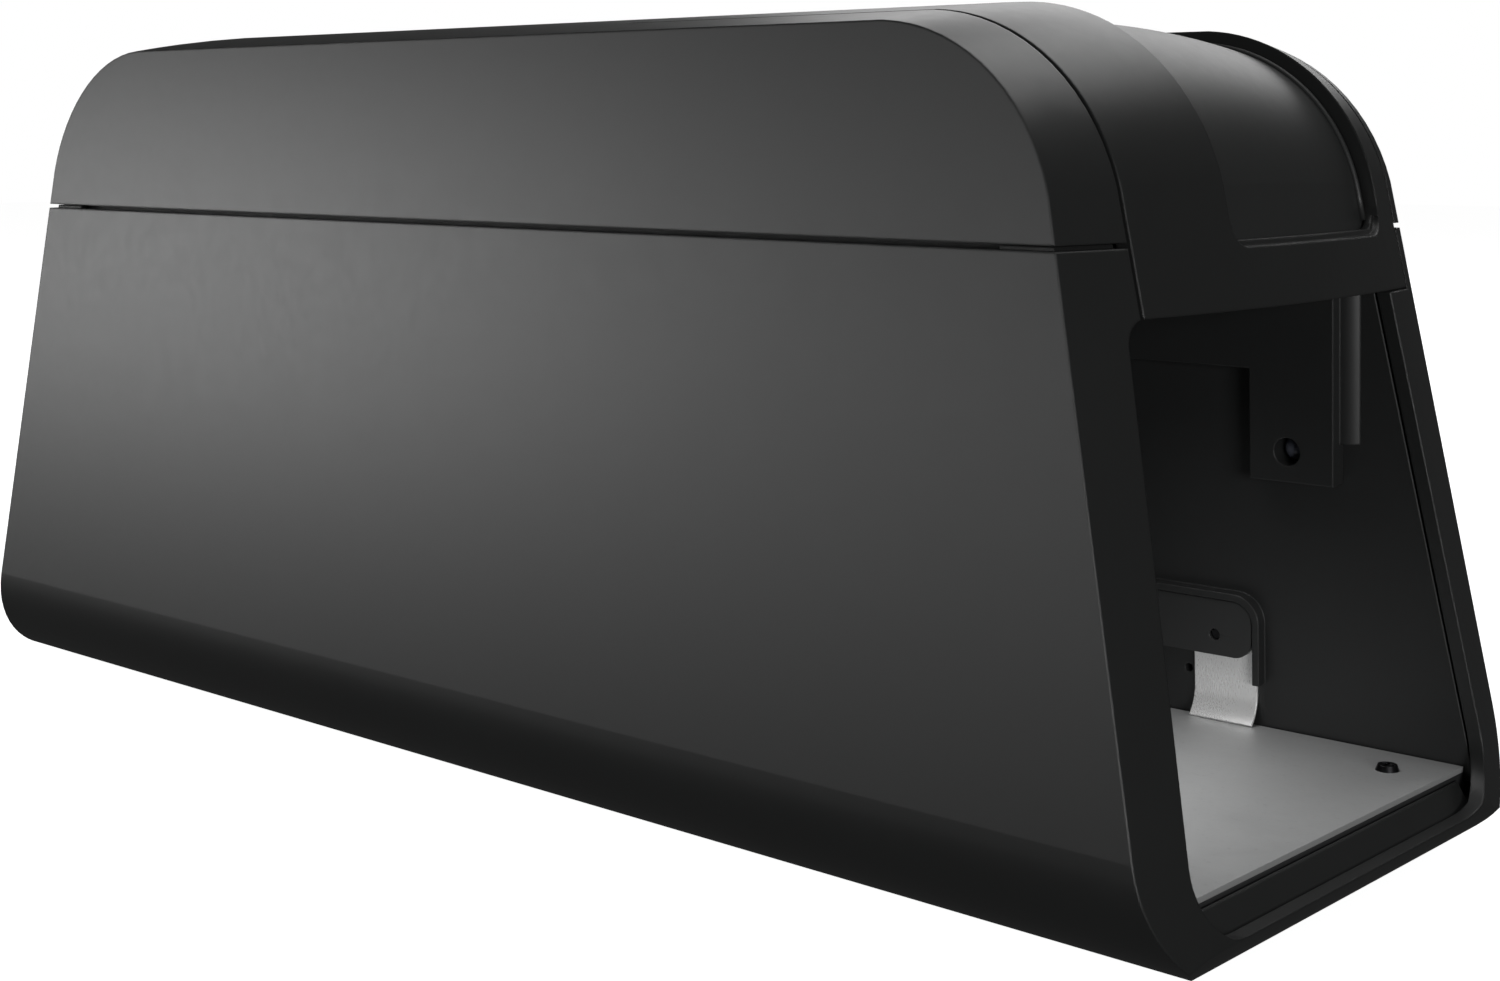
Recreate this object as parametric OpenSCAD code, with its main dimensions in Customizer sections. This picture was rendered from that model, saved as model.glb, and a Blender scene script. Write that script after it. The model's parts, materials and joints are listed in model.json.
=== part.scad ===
/* [Body] */
// Length of the crowned body along its foot, end to end
body_len = 312.4; // [308:0.2:318]
// Width of the body across its foot
body_w = 116.5; // [115:0.5:118]
// Height of the crown above the foot
body_h = 136.4; // [135:0.2:138]
// Lean of each long side, in degrees from upright
side_lean = 4.06; // [3.8:0.02:4.3]
// Slope of each end, in degrees from upright
end_slope = 13.6; // [13:0.1:14.2]
// Radius of the crown across the body
crown_r = 280; // [260:5:300]
// Radius of the two top corners, seen from the side
corner_r = 38; // [36:1:40]
// Radius along the two long bottom edges
keel_r = 18.8; // [18:0.2:20]
// Radius under each end
toe_r = 7.7; // [7:0.1:9]
// Wall thickness of the outer mouldings
wall = 2.4; // [2.2:0.1:2.6]
// Height of the seam between base and cover
seam_z = 100.4; // [99:0.2:102]
// Width of the seams between outer mouldings
seam_gap = 0.8; // [0.6:0.1:1]
// Height of the rubber feet below the base
foot_h = 0.8; // [0.6:0.1:1.2]

/* [Entrance] */
// Width of the entrance, taken down to the foot
mouth_w = 96.2; // [95:0.2:97]
// Lean of the entrance jambs and chamber walls, in degrees
jamb_lean = 5.2; // [5:0.1:5.4]
// Height of the sill
sill_z = 5.8; // [5.8:0.1:6.6]
// Height of the entrance under the cap
head_z = 90.7; // [90:0.1:91.4]
// Radius of the two bottom corners of the entrance
mouth_r = 11; // [9:0.5:12]
// Radius of the near top corner of the entrance
brow_r = 4.2; // [3.8:0.2:4.4]

/* [Cap] */
// Where the cap begins along the top
cap_x = 32; // [28:1:36]
// Where the cap ends on the near side
cap_y = -36; // [-38:0.5:-34]
// Back edge of the recessed window
window_x = 46; // [44:1:50]
// Near edge of the recessed window
window_near = -12; // [-14:0.5:-8]
// Far edge of the recessed window
window_far = 41; // [39:0.5:42]
// Bottom edge of the recessed window
window_z = 99.6; // [98:0.2:101]
// Depth of the recess below the crown
window_depth = 2.8; // [2.7:0.1:3.2]
// Diameter of the power button
button_d = 16; // [14:0.5:18]
// Travel of the power button
button_travel = 1; // [0.8:0.1:1.2]

/* [Chamber] */
// Height of the floor plates' upper face
plate_z = 11; // [10.8:0.1:11.2]
// Thickness of the floor plates
plate_t = 1; // [0.8:0.1:1.2]
// Front edge of the front floor plate
plate_front = 145.2; // [144:0.2:145.4]
// Back of the chamber
chamber_back = -116; // [-118:1:-110]
// Thickness of the chamber's liner walls
liner_t = 1.6; // [1.4:0.1:1.8]
// Width of each contact strip
strip_w = 12.6; // [11:0.2:14]

/* [Batteries] */
// Diameter of a C cell
cell_d = 26.2; // [25.5:0.1:26.2]
// Length of a C cell
cell_len = 50; // [49:0.1:50]

/* [Hidden] */
$fn = 72;
fine = 240;
big = 400;

// Crown and ends
end_x = body_len / 2;
axis_z = body_h - corner_r;
axis_x = end_x - (corner_r + axis_z * sin(end_slope)) / cos(end_slope);
slope_len = (axis_z + corner_r * sin(end_slope)) / cos(end_slope) + 10;
// The round corners stand this little above the flats, so that they cross instead of only touching
corner_ease = 0.05;
foot_half = body_w / 2;
keel_y = foot_half - keel_r * (1 + sin(side_lean)) / cos(side_lean);
sill_half = 38.4;
sill_x = end_x - crown_drop(sill_half) / cos(end_slope);
sill_toe = sill_x - toe_r * tan(end_slope) - toe_r / cos(end_slope);
back_toe = end_x - toe_r * tan(end_slope) - toe_r / cos(end_slope);
sill_top = 20;
ramp_end = 148.3;

// Entrance and chamber
mouth_half = mouth_w / 2;
liner_z = 8.4;
deck_z = 91;
deck_t = 2;
deck_top = deck_z + deck_t;
liner_top = deck_z - 0.2;
tray_z = 2.8;
tray_rail = 32;

// Sensor arms on the chamber walls
arm_t = 3.6;
arm_x = [107.3, 123];
arm_z = 57.3;
pillar_r = 4.7;
pillar_sink = 3.4;
pillar_z = arm_z + 7;
skirt_x = 36;
skirt_z = 76.6;
eye = [114.4, 62.6];
eye_r = 2.45;
led_r = 2.4;

// Contact strips and their covers
contact_x = [94, -40];
cover_len = 45;
cover_z = [23.4, 33.8];
rim_z = [19, 35.3];
rim_w = 1.3;
lead_in = 9;

// Hinge
hinge_r = 3.2;
pin_r = 1.25;
pin_clear = 0.05;
hinge_x = -(end_x - seam_z * tan(end_slope)) + 0.2;
hinge_z = seam_z + seam_gap / 2;
knuckle_y = [-30, -16, 16, 30];
hinge_clear = 0.4;

// Controls
button_at = [74, 15];
lens_at = [88, 15];
lens_r = 2.6;
ledge_rise = 0.95;
ledge_depth = 1.2;
pipe_z = 118;
panel_t = 2;
board_z = 110;
board_t = 1.6;
board_x = [44, 118];
board_y = [-30, 38];
board_holes = [[48, -25], [48, 33], [113, -25], [113, 33]];

// Battery bay
bay_x = [-98, 20];
cell_y = 14.4;
cell_z = deck_top + 2.4 + cell_d / 2;
bay_wall = 1.6;
bay_h = 15;

// Strips along the seam
lip_x = [-118, 120];
lip_in = 1.4;
lip_t = 1.4;

// Fastenings
deck_bosses = [[-100, 46.6], [96, 46.6], [-100, -46.6], [96, -46.6]];
cap_posts = [[38.5, -27], [38.5, 30], [103, -27], [125.5, 20]];
plate_screw_y = 36.3;
plate_screw_x = [136.6, 50, 30, -106];
foot_spots = [[118, 26], [118, -26], [-118, 26], [-118, -26]];
lead_holes = [[103, 44], [-31, 44], [114, 42.6], [114, -42.6]];
tray_spots = [[84, 14], [84, -14], [-84, 14], [-84, -14]];

// How far the crown has dropped at a distance y from the middle
function crown_drop(y) = crown_r - sqrt(crown_r * crown_r - y * y);
// Half width of the outside at height z
function side_y(z) = foot_half - z * tan(side_lean);
// Half width of the chamber at height z
function jamb_y(z) = mouth_half - z * tan(jamb_lean);
// Distance up a leaning chamber wall to height z
function up(z) = z / cos(jamb_lean);
// Height of the crown's surface at y, less an inset
function crown_z(y, inset) = body_h - crown_drop(y) - inset;

// Everything stands on the feet
module on_feet() translate([0, 0, foot_h]) children();

// All that lies under the crowned top
module crown_top(inset) translate([0, 0, body_h - crown_r]) rotate([0, 90, 0])
    cylinder(r = crown_r - inset, h = big, center = true, $fn = 720);

// All that lies behind one crowned end slope
module crown_face(inset) {
    translate([axis_x, 0, axis_z]) rotate([0, -end_slope, 0]) translate([corner_r - crown_r, 0, -slope_len])
        rotate(180) cylinder(r = crown_r - inset, h = 2 * slope_len, $fn = 720);
}

// What has to come off where the top meets one end, to leave a round corner that is crowned too
module corner_cut(inset) {
    translate([axis_x + corner_ease * (1 - sin(end_slope)) / cos(end_slope), 0, axis_z + corner_ease])
        difference() {
            rotate([90, 0, 0]) linear_extrude(2 * body_w, center = true)
                polygon([[0, 0], [0, body_w], [body_w, body_w],
                    [body_w, body_w * tan(end_slope)]]);
            rotate([90, 0, 0]) rotate_extrude($fn = fine) intersection() {
                translate([corner_r - crown_r, 0]) circle(r = crown_r - inset, $fn = 720);
                translate([0, -foot_half - 5]) square([corner_r, body_w + 10]);
            }
            rotate([90, 0, 0]) cylinder(r = corner_r / 2, h = 3 * body_w, center = true);
        }
}

// Section across the body: leaning sides and round bottom edges
module long_section(inset) {
    tangent_y = keel_y + (keel_r - inset) * cos(side_lean);
    tangent_z = keel_r + (keel_r - inset) * sin(side_lean);
    top = body_h + 10;
    top_y = side_y(top) - inset / cos(side_lean);
    polygon([[-keel_y, inset], [keel_y, inset], [tangent_y, tangent_z], [top_y, top],
        [-top_y, top], [-tangent_y, tangent_z]]);
    for (s = [-1, 1]) translate([s * keel_y, keel_r]) circle(r = keel_r - inset, $fn = fine);
}

module long_block(inset) rotate([90, 0, 90]) linear_extrude(big, center = true) long_section(inset);

// Side view of the ends: round toes, and a straight sill below the entrance
module toe_section(inset, top) {
    r = toe_r - inset;
    lift = toe_r + r * sin(end_slope);
    shelf = sill_x - inset / cos(end_slope) - sill_top * tan(end_slope);
    polygon([[-back_toe, inset], [sill_toe, inset], [sill_toe + r * cos(end_slope), lift],
        [shelf, sill_top], [end_x, sill_top], [end_x, top], [-end_x, top],
        [-back_toe - r * cos(end_slope), lift]]);
    translate([sill_toe, toe_r]) circle(r = r);
    translate([-back_toe, toe_r]) circle(r = r);
}

module toe_block(inset, top) rotate([90, 0, 0]) linear_extrude(big, center = true)
    toe_section(inset, top);

// The lower part of the outer form up to a height, taken in by an inset
module lower_solid(inset, top) {
    intersection() {
        long_block(inset);
        toe_block(inset, top);
        crown_face(inset);
        mirror([1, 0, 0]) crown_face(inset);
    }
}

// The crowned top and its front corner alone, taken in by an inset
module front_crown(inset) {
    difference() {
        intersection() {
            crown_top(inset);
            crown_face(inset);
        }
        corner_cut(inset);
    }
}

// The upper part of the outer form, taken in by an inset
module upper_solid(inset) {
    difference() {
        intersection() {
            long_block(inset);
            crown_top(inset);
            crown_face(inset);
            mirror([1, 0, 0]) crown_face(inset);
        }
        corner_cut(inset);
        mirror([1, 0, 0]) corner_cut(inset);
    }
}

module slab(z0, z1) translate([-big / 2, -big / 2, z0]) cube([big, big, z1 - z0]);

// Outline of the entrance, seen from the front
module mouth_section() {
    low_y = jamb_y(sill_z + mouth_r) - mouth_r / cos(jamb_lean);
    low_z = sill_z + mouth_r;
    high_y = jamb_y(head_z - brow_r) - brow_r / cos(jamb_lean);
    high_z = head_z - brow_r;
    low_t = [low_y + mouth_r * cos(jamb_lean), low_z + mouth_r * sin(jamb_lean)];
    high_t = [high_y + brow_r * cos(jamb_lean), high_z + brow_r * sin(jamb_lean)];
    polygon([[-low_y, sill_z], [low_y, sill_z], low_t, [jamb_y(head_z), head_z], [-high_y, head_z],
        [-high_t.x, high_t.y], [-low_t.x, low_t.y]]);
    for (s = [-1, 1]) translate([s * low_y, low_z]) circle(r = mouth_r);
    translate([-high_y, high_z]) circle(r = brow_r);
}

// The room that the cap takes up, grown by a gap on its inner sides
module cap_block(gap) {
    intersection() {
        translate([cap_x - gap, cap_y - gap, head_z - gap]) cube([big, body_w, body_h]);
        long_block(wall + seam_gap - gap);
    }
}

// A row of upright slots with round ends, cut along X
module vent_slots(x0, x1) {
    for (i = [-2:2]) translate([x0, i * 10, 0]) rotate([90, 0, 90]) linear_extrude(x1 - x0) {
        translate([-1.1, 34]) square([2.2, 26]);
        for (z = [34, 60]) translate([0, z]) circle(r = 1.1);
    }
}

// A hinge knuckle between two places across the body
module knuckle(y0, y1, r) {
    translate([hinge_x, y0, hinge_z]) rotate([-90, 0, 0]) cylinder(r = r, h = y1 - y0);
}

// The outer walls and floor up to the seam
module tub() difference() {
    lower_solid(0, seam_z);
    lower_solid(wall, seam_z + 5);
}

module base_shell() color("#1d1f1f") on_feet() {
    difference() {
        union() {
            difference() {
                tub();
                translate([100, 0, 0]) rotate([90, 0, 90]) linear_extrude(80) mouth_section();
                intersection() {
                    translate([100, cap_y - seam_gap, head_z - seam_gap / 2]) cube([big, body_w, body_h]);
                    long_block(wall);
                }
                vent_slots(-160, -125);
            }
            sill_ramp();
            seam_lips();
            for (p = deck_bosses) deck_boss(p);
            for (k = [0, 2]) knuckle(knuckle_y[k], knuckle_y[k + 1], hinge_r);
        }
        knuckle(knuckle_y[0] - 1, knuckle_y[3] + 1, pin_r);
        knuckle(knuckle_y[1], knuckle_y[2], hinge_r + hinge_clear);
        for (p = deck_bosses) translate([p.x, p.y, deck_z - 12]) cylinder(r = 1.1, h = 13);
        for (p = foot_spots) translate([p.x, p.y, -1]) cylinder(r = 7.1, h = 2.2);
        for (p = tray_spots) translate([p.x, p.y, -1]) {
            cylinder(r = 1.6, h = 5);
            cylinder(r = 3, h = 2.2);
        }
    }
}

// Slope from the sill's lip up to the floor plate
module sill_ramp() {
    intersection() {
        translate([0, sill_half + 5, 0]) rotate([90, 0, 0]) linear_extrude(2 * sill_half + 10)
            polygon([[plate_front + 0.4, 2], [plate_front + 0.4, plate_z - 1.6], [ramp_end, sill_z - 0.5],
                [sill_x, sill_z - 0.5], [sill_x, 2]]);
        lower_solid(wall / 2, seam_z);
    }
}

// Two strips inside the long sides that locate the cover
module seam_lips() {
    low = seam_z - 4;
    shelf = seam_z - 1.2;
    high = seam_z + 3;
    for (s = [0, 1]) mirror([0, s, 0])
        translate([lip_x[0], 0, 0]) rotate([90, 0, 90]) linear_extrude(lip_x[1] - lip_x[0])
            polygon([[side_y(low) - wall + 0.1, low], [side_y(shelf) - wall + 0.1, shelf],
                [side_y(shelf) - wall - lip_in, shelf], [side_y(high) - wall - lip_in, high],
                [side_y(high) - wall - lip_in - lip_t, high], [side_y(low) - wall - lip_in - lip_t, low]]);
}

// Boss on the inside of a long wall, under the deck
module deck_boss(p) {
    intersection() {
        translate([p.x, p.y, deck_z - 18]) cylinder(r = 3, h = 18);
        long_block(wall / 2);
    }
}

module top_cover() color("#1d1f1f") on_feet() {
    difference() {
        union() {
            difference() {
                upper_solid(0);
                slab(-5, seam_z + seam_gap);
                upper_solid(wall);
                cap_block(seam_gap);
                for (k = [0, 2]) knuckle(knuckle_y[k] - hinge_clear, knuckle_y[k + 1] + hinge_clear,
                    hinge_r + hinge_clear);
            }
            knuckle(knuckle_y[1] + hinge_clear, knuckle_y[2] - hinge_clear, hinge_r);
        }
        knuckle(knuckle_y[1], knuckle_y[2], pin_r + pin_clear);
    }
}

module hinge_pin() color("#b9bcc0") on_feet() knuckle(knuckle_y[0], knuckle_y[3], pin_r);

// The recessed window in the cap down to a height, grown by a margin
module window_block(margin, bottom) {
    r = 4;
    x0 = window_x - margin;
    y0 = window_near - margin;
    y1 = window_far + margin;
    z0 = bottom - margin;
    intersection() {
        translate([0, 0, deck_top]) linear_extrude(body_h) {
            translate([x0 + r, y0]) square([big, y1 - y0]);
            translate([x0, y0 + r]) square([r, y1 - y0 - 2 * r]);
            for (y = [y0 + r, y1 - r]) translate([x0 + r, y]) circle(r = r);
        }
        rotate([90, 0, 90]) linear_extrude(big) {
            translate([y0, z0 + r]) square([y1 - y0, body_h]);
            translate([y0 + r, z0]) square([y1 - y0 - 2 * r, r]);
            for (y = [y0 + r, y1 - r]) translate([y, z0 + r]) circle(r = r);
        }
    }
}

module front_cap() color("#1d1f1f") on_feet() {
    difference() {
        union() {
            difference() {
                intersection() {
                    upper_solid(0);
                    cap_block(0);
                }
                upper_solid(wall);
                window_block(0, window_z + ledge_rise);
                difference() {
                    window_block(0, window_z);
                    upper_solid(ledge_depth);
                    slab(window_z + 3, body_h + 5);
                }
            }
            intersection() {
                union() {
                    for (p = cap_posts) translate([p.x, p.y, deck_top + 0.2]) cylinder(r = 3, h = body_h);
                }
                upper_solid(wall / 2);
                union() {
                    slab(0, window_z - 3);
                    translate([0, -60, 0]) cube([big, 60 + window_near - 4, big]);
                    cube([window_x - 3, 60, big]);
                }
            }
            intersection() {
                translate([cap_posts[3].x, cap_posts[3].y - 3, deck_top + 0.2]) cube([10, 6, 3.4]);
                upper_solid(wall / 2);
            }
        }
        for (p = cap_posts) translate([p.x, p.y, deck_z]) cylinder(r = 1.1, h = 5.4);
    }
}

module control_panel() color("#232525") on_feet() {
    difference() {
        intersection() {
            front_crown(window_depth);
            window_block(1.4, window_z);
        }
        front_crown(window_depth + panel_t);
        translate([button_at.x, button_at.y, board_z]) cylinder(r = button_d / 2 + 0.2, h = 40);
        translate([lens_at.x, lens_at.y, board_z]) cylinder(r = lens_r + 0.05, h = 40);
    }
}

// Top of the panel above the button
panel_z = crown_z(button_at.y, window_depth);
switch_z = board_z + board_t;
switch_top = switch_z + 5;

module power_button() color("#2c2e2e") on_feet() translate([button_at.x, button_at.y, 0]) {
    under = panel_z - panel_t - 1.2;
    translate([0, 0, under - 1.4]) cylinder(r = button_d / 2 + 1.6, h = 1.4);
    translate([0, 0, under - 0.1]) cylinder(r = button_d / 2, h = panel_z - under + 0.1);
    translate([0, 0, panel_z - 0.01]) cylinder(r1 = button_d / 2, r2 = button_d / 2 - 0.5, h = 0.4);
    translate([0, 0, switch_top + button_travel + 0.3])
        cylinder(r = 2.2, h = under - 1 - switch_top - button_travel - 0.3);
}

module led_lens() color("#dfe8e2") on_feet() {
    flange_z = panel_z - panel_t - 1.3;
    translate([lens_at.x, lens_at.y, flange_z]) cylinder(r = lens_r, h = panel_z - 0.4 - flange_z);
    translate([lens_at.x, lens_at.y, flange_z]) cylinder(r = lens_r + 1, h = 1);
    translate([lens_at.x, lens_at.y, pipe_z]) cylinder(r = lens_r - 0.7, h = flange_z + 0.1 - pipe_z);
}

module status_led() color("#6fbf73") on_feet() translate([lens_at.x, lens_at.y, board_z + board_t]) {
    cylinder(r = 1.5, h = 4);
    translate([0, 0, 4]) sphere(r = 1.5);
    cylinder(r = 1.9, h = 0.9);
}

module circuit_board() color("#2f5d3a") on_feet() {
    difference() {
        translate([board_x[0], board_y[0], board_z])
            cube([board_x[1] - board_x[0], board_y[1] - board_y[0], board_t]);
        for (p = board_holes) translate([p.x, p.y, board_z - 1]) cylinder(r = 1.6, h = 4);
        translate([cap_posts[2].x, cap_posts[2].y, board_z - 1]) cylinder(r = 3.6, h = 4);
    }
}

module tact_switch() color("#303234") on_feet() translate([button_at.x, button_at.y, switch_z]) {
    translate([-3, -3, 0]) cube([6, 6, 3.4]);
    cylinder(r = 1.7, h = switch_top - switch_z);
}

module transformer_core() color("#3b3d40") on_feet() translate([58, -4, switch_z + 0.1]) {
    difference() {
        translate([-9, -8, 0]) cube([18, 16, 13.4]);
        translate([-6, -9, 2.6]) cube([12, 18, 8.2]);
    }
    translate([-2.6, -8, 0]) cube([5.2, 16, 13.4]);
}

module transformer_coil() color("#c9a227") on_feet() translate([58, -4, switch_z + 0.1]) {
    difference() {
        translate([-5.7, -11, 2.9]) cube([11.4, 22, 7.6]);
        translate([-2.9, -8.3, -1]) cube([5.8, 16.6, 16]);
    }
}

module storage_capacitor() color("#2b3f66") on_feet() translate([56, 20, switch_z + 6.3]) {
    rotate([90, 0, 0]) cylinder(r = 6.2, h = 22, center = true);
}

module controller_chip() color("#1a1a1c") on_feet() translate([92, -14, switch_z]) {
    translate([-5, -3.9, 0.3]) cube([10, 7.8, 1.5]);
    for (i = [0:6], y = [-5, 3.9]) translate([-4.2 + i * 1.27, y, 0]) cube([0.5, 1.1, 0.9]);
}

module power_transistor() color("#202124") on_feet() translate([108, 12, switch_z]) {
    translate([-2.2, -5, 3]) cube([4.4, 10, 9]);
    for (i = [-1:1]) translate([-0.4, i * 2.5 - 0.4, 0]) cube([0.8, 0.8, 3.2]);
}

module heat_sink() color("#c3c6c9") on_feet() translate([108, 12, switch_z]) {
    translate([2.4, -8, 0]) cube([1.4, 16, 9]);
    for (i = [-3:3]) translate([3.6, i * 2.4 - 0.4, 0]) cube([4, 0.8, 9]);
}

module electronics_deck() color("#26282a") on_feet() {
    difference() {
        intersection() {
            long_block(wall + 0.3);
            translate([chamber_back - 4, -60, deck_z]) cube([big, 120, deck_t]);
            crown_face(wall + 0.4);
        }
        for (p = deck_bosses) translate([p.x, p.y, deck_z - 1]) cylinder(r = 1.5, h = 5);
        for (p = cap_posts) translate([p.x, p.y, deck_z - 1]) cylinder(r = 1.5, h = 5);
        for (p = lead_holes)
            translate([p.x, p.y, deck_z - 1]) cylinder(r = 2, h = 5);
    }
    for (p = board_holes) difference() {
        translate([p.x, p.y, deck_top - 0.1]) cylinder(r = 3, h = board_z - deck_top + 0.1);
        translate([p.x, p.y, deck_top + 4]) cylinder(r = 1.1, h = 30);
    }
}

// Places a piece on the far chamber wall: x along it, y up it, z out from it into the chamber
module on_wall() translate([0, mouth_half, 0]) rotate([90 + jamb_lean, 0, 0]) children();

module liner_wall() {
    t = liner_t / cos(jamb_lean);
    intersection() {
        translate([chamber_back, 0, 0]) rotate([90, 0, 90]) linear_extrude(big)
            polygon([[jamb_y(liner_z), liner_z], [jamb_y(liner_z) + t, liner_z],
                [jamb_y(liner_top) + t, liner_top], [jamb_y(liner_top), liner_top]]);
        crown_face(wall + 0.4);
        long_block(wall + 0.3);
    }
}

// Hole through a liner wall behind the sensor's eye
module eye_hole(r) on_wall() translate([eye.x, up(eye.y), -10]) cylinder(r = r, h = 20);

module near_liner() color("#1a1c1c") on_feet() mirror([0, 1, 0]) difference() {
    liner_wall();
    eye_hole(3.2);
}

// A flat outline with rounded corners
module round_rect(x0, y0, x1, y1, r) {
    translate([x0 + r, y0]) square([x1 - x0 - 2 * r, y1 - y0]);
    translate([x0, y0 + r]) square([x1 - x0, y1 - y0 - 2 * r]);
    for (x = [x0 + r, x1 - r], y = [y0 + r, y1 - r]) translate([x, y]) circle(r = r);
}

// Raised rim on the wall, round one contact cover and open below
module contact_rim(x0) {
    right = x0 + strip_w + 1.3;
    on_wall() difference() {
        translate([0, 0, -0.4]) linear_extrude(2.6)
            round_rect(right - cover_len - 2.6, up(rim_z[0]) - 8, right, up(rim_z[1]), 5);
        translate([0, 0, -2]) linear_extrude(8) round_rect(right - cover_len - 2.6 + rim_w,
            up(rim_z[0]) - 12, right - rim_w, up(rim_z[1]) - rim_w, 4);
        translate([right - 60, up(rim_z[0]) - 20, -3]) cube([80, 20, 8]);
    }
}

module far_liner() color("#1a1c1c") on_feet() difference() {
    union() {
        liner_wall();
        for (x = contact_x) contact_rim(x);
    }
    eye_hole(3.2);
    for (x = contact_x) on_wall() {
        translate([x + 4.9, up(27.2), -5]) cylinder(r = 0.9, h = 10);
        translate([x - 1.6, up(19.4), -5]) cylinder(r = 0.8, h = 10);
        translate([x + lead_in, up(29), -5]) cylinder(r = 1.2, h = 10);
    }
}

module back_liner() color("#1a1c1c") on_feet() difference() {
    translate([chamber_back - liner_t, 0, 0]) rotate([90, 0, 90]) linear_extrude(liner_t - 0.1)
        polygon([[-jamb_y(liner_z), liner_z], [jamb_y(liner_z), liner_z], [jamb_y(liner_top), liner_top],
            [-jamb_y(liner_top), liner_top]]);
    vent_slots(chamber_back - 5, chamber_back + 5);
}

module floor_tray() color("#17191a") on_feet() {
    difference() {
        intersection() {
            long_block(wall + 0.3);
            rotate([90, 0, 0]) linear_extrude(body_w, center = true)
                polygon([[chamber_back + 0.1, tray_z], [plate_front - 2.7, tray_z],
                    [plate_front, tray_z + 2.7], [plate_front, plate_z - plate_t],
                    [chamber_back + 0.1, plate_z - plate_t]]);
        }
        translate([chamber_back + 3, -tray_rail, 0])
            cube([plate_front - 6 - chamber_back, 2 * tray_rail, 8]);
        for (y = [-59, 47]) translate([chamber_back - 5, y, liner_z - 0.4]) cube([big, 12, 5]);
        for (x = plate_screw_x, s = [-1, 1])
            translate([x, s * plate_screw_y, 4.6]) cylinder(r = 0.9, h = 10);
    }
    for (p = tray_spots) difference() {
        translate([p.x, p.y, tray_z]) cylinder(r = 3.2, h = 8.1 - tray_z);
        translate([p.x, p.y, tray_z - 1]) cylinder(r = 1.1, h = 5);
    }
    translate([38.6, -44, plate_z - plate_t - 0.1]) cube([2.8, 88, 1.7]);
}

module floor_plate(x0, x1, screw_x) {
    half = jamb_y(plate_z) - 0.4;
    difference() {
        translate([x0, -half, plate_z - plate_t + 0.05]) cube([x1 - x0, 2 * half, plate_t - 0.05]);
        for (x = screw_x, s = [-1, 1]) translate([x, s * plate_screw_y, 0]) cylinder(r = 1.3, h = 20);
    }
}

module front_plate() color("#9a9da0") on_feet()
    floor_plate(42, plate_front, [plate_screw_x[0], plate_screw_x[1]]);

module rear_plate() color("#9a9da0") on_feet()
    floor_plate(chamber_back + 0.6, 38, [plate_screw_x[2], plate_screw_x[3]]);

// A pan-head screw with a cross recess, pointing down from its head
module pan_screw(head_r, shank_r, len) {
    difference() {
        cylinder(r1 = head_r, r2 = head_r - 0.4, h = 1);
        for (a = [0, 90]) rotate(a) translate([-head_r * 0.6, -0.2, 0.5]) cube([head_r * 1.2, 0.4, 1]);
    }
    translate([0, 0, -len]) cylinder(r = shank_r, h = len + 0.1);
}

module plate_screws() color("#2a2b2d") on_feet()
    for (x = plate_screw_x, s = [-1, 1]) translate([x, s * plate_screw_y, plate_z]) pan_screw(2, 0.85, 6);

// Spring strip that runs down the wall and bows in onto the plate
module contact_strip(x) {
    bend_r = 8;
    bend_at = up(plate_z) + 5.9;
    on_wall() difference() {
        translate([x, 0, 0]) rotate([0, 90, 0]) linear_extrude(strip_w) {
            translate([-0.6, bend_at]) square([0.5, up(31) - bend_at]);
            translate([-bend_r - 0.1, bend_at]) intersection() {
                difference() {
                    circle(r = bend_r, $fn = fine);
                    circle(r = bend_r - 0.5, $fn = fine);
                }
                polygon([[0, 0], [20, 0], [20, -20]]);
            }
        }
        translate([x + 4.9, up(27.2), -2]) cylinder(r = 0.95, h = 4);
    }
}

module front_contact() color("#d5d7d8") on_feet() contact_strip(contact_x[0]);
module rear_contact() color("#d5d7d8") on_feet() contact_strip(contact_x[1]);

module contact_cover(x) {
    right = x + strip_w;
    on_wall() difference() {
        translate([0, 0, 0.7]) linear_extrude(1.2)
            round_rect(right - cover_len + 2.6, up(cover_z[0]), right - 0.3, up(cover_z[1]), 3.6);
        translate([x + 4.9, up(27.2), 0]) cylinder(r = 1.05, h = 8);
    }
}

module front_contact_cover() color("#1c1e1e") on_feet() contact_cover(contact_x[0]);
module rear_contact_cover() color("#1c1e1e") on_feet() contact_cover(contact_x[1]);

module contact_screws() color("#2a2b2d") on_feet()
    for (x = contact_x) on_wall() translate([x + 4.9, up(27.2), -2.5]) cylinder(r = 0.85, h = 3.9);

// Skirt under the deck with an arm that holds the sensor
module sensor_arm() {
    intersection() {
        on_wall() difference() {
            union() {
                linear_extrude(arm_t) polygon([[skirt_x, up(skirt_z)], [arm_x[0], up(skirt_z)],
                    [arm_x[0], up(arm_z)], [arm_x[1], up(arm_z)], [arm_x[1], up(deck_z) - 0.3],
                    [skirt_x, up(deck_z) - 0.3]]);
                intersection() {
                    translate([arm_x[1], 0, -pillar_sink]) rotate([-90, 0, 0])
                        translate([0, 0, up(pillar_z)]) cylinder(r = pillar_r, h = 60);
                    translate([arm_x[1] - 0.1, 0, 0]) cube([20, up(deck_z) - 0.3, 10]);
                }
            }
            translate([eye.x, up(eye.y), -1]) cylinder(r = eye_r, h = 10);
        }
        crown_face(wall + 0.4);
    }
}

module far_sensor_arm() color("#1a1c1c") on_feet() sensor_arm();
module near_sensor_arm() color("#1a1c1c") on_feet() mirror([0, 1, 0]) sensor_arm();

module ir_diode() on_wall() translate([eye.x, up(eye.y), 0]) {
    translate([0, 0, -4.2]) cylinder(r = led_r, h = 3.4);
    translate([0, 0, -0.8]) sphere(r = led_r);
    translate([0, 0, -4.8]) cylinder(r = 2.9, h = 1);
}

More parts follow.
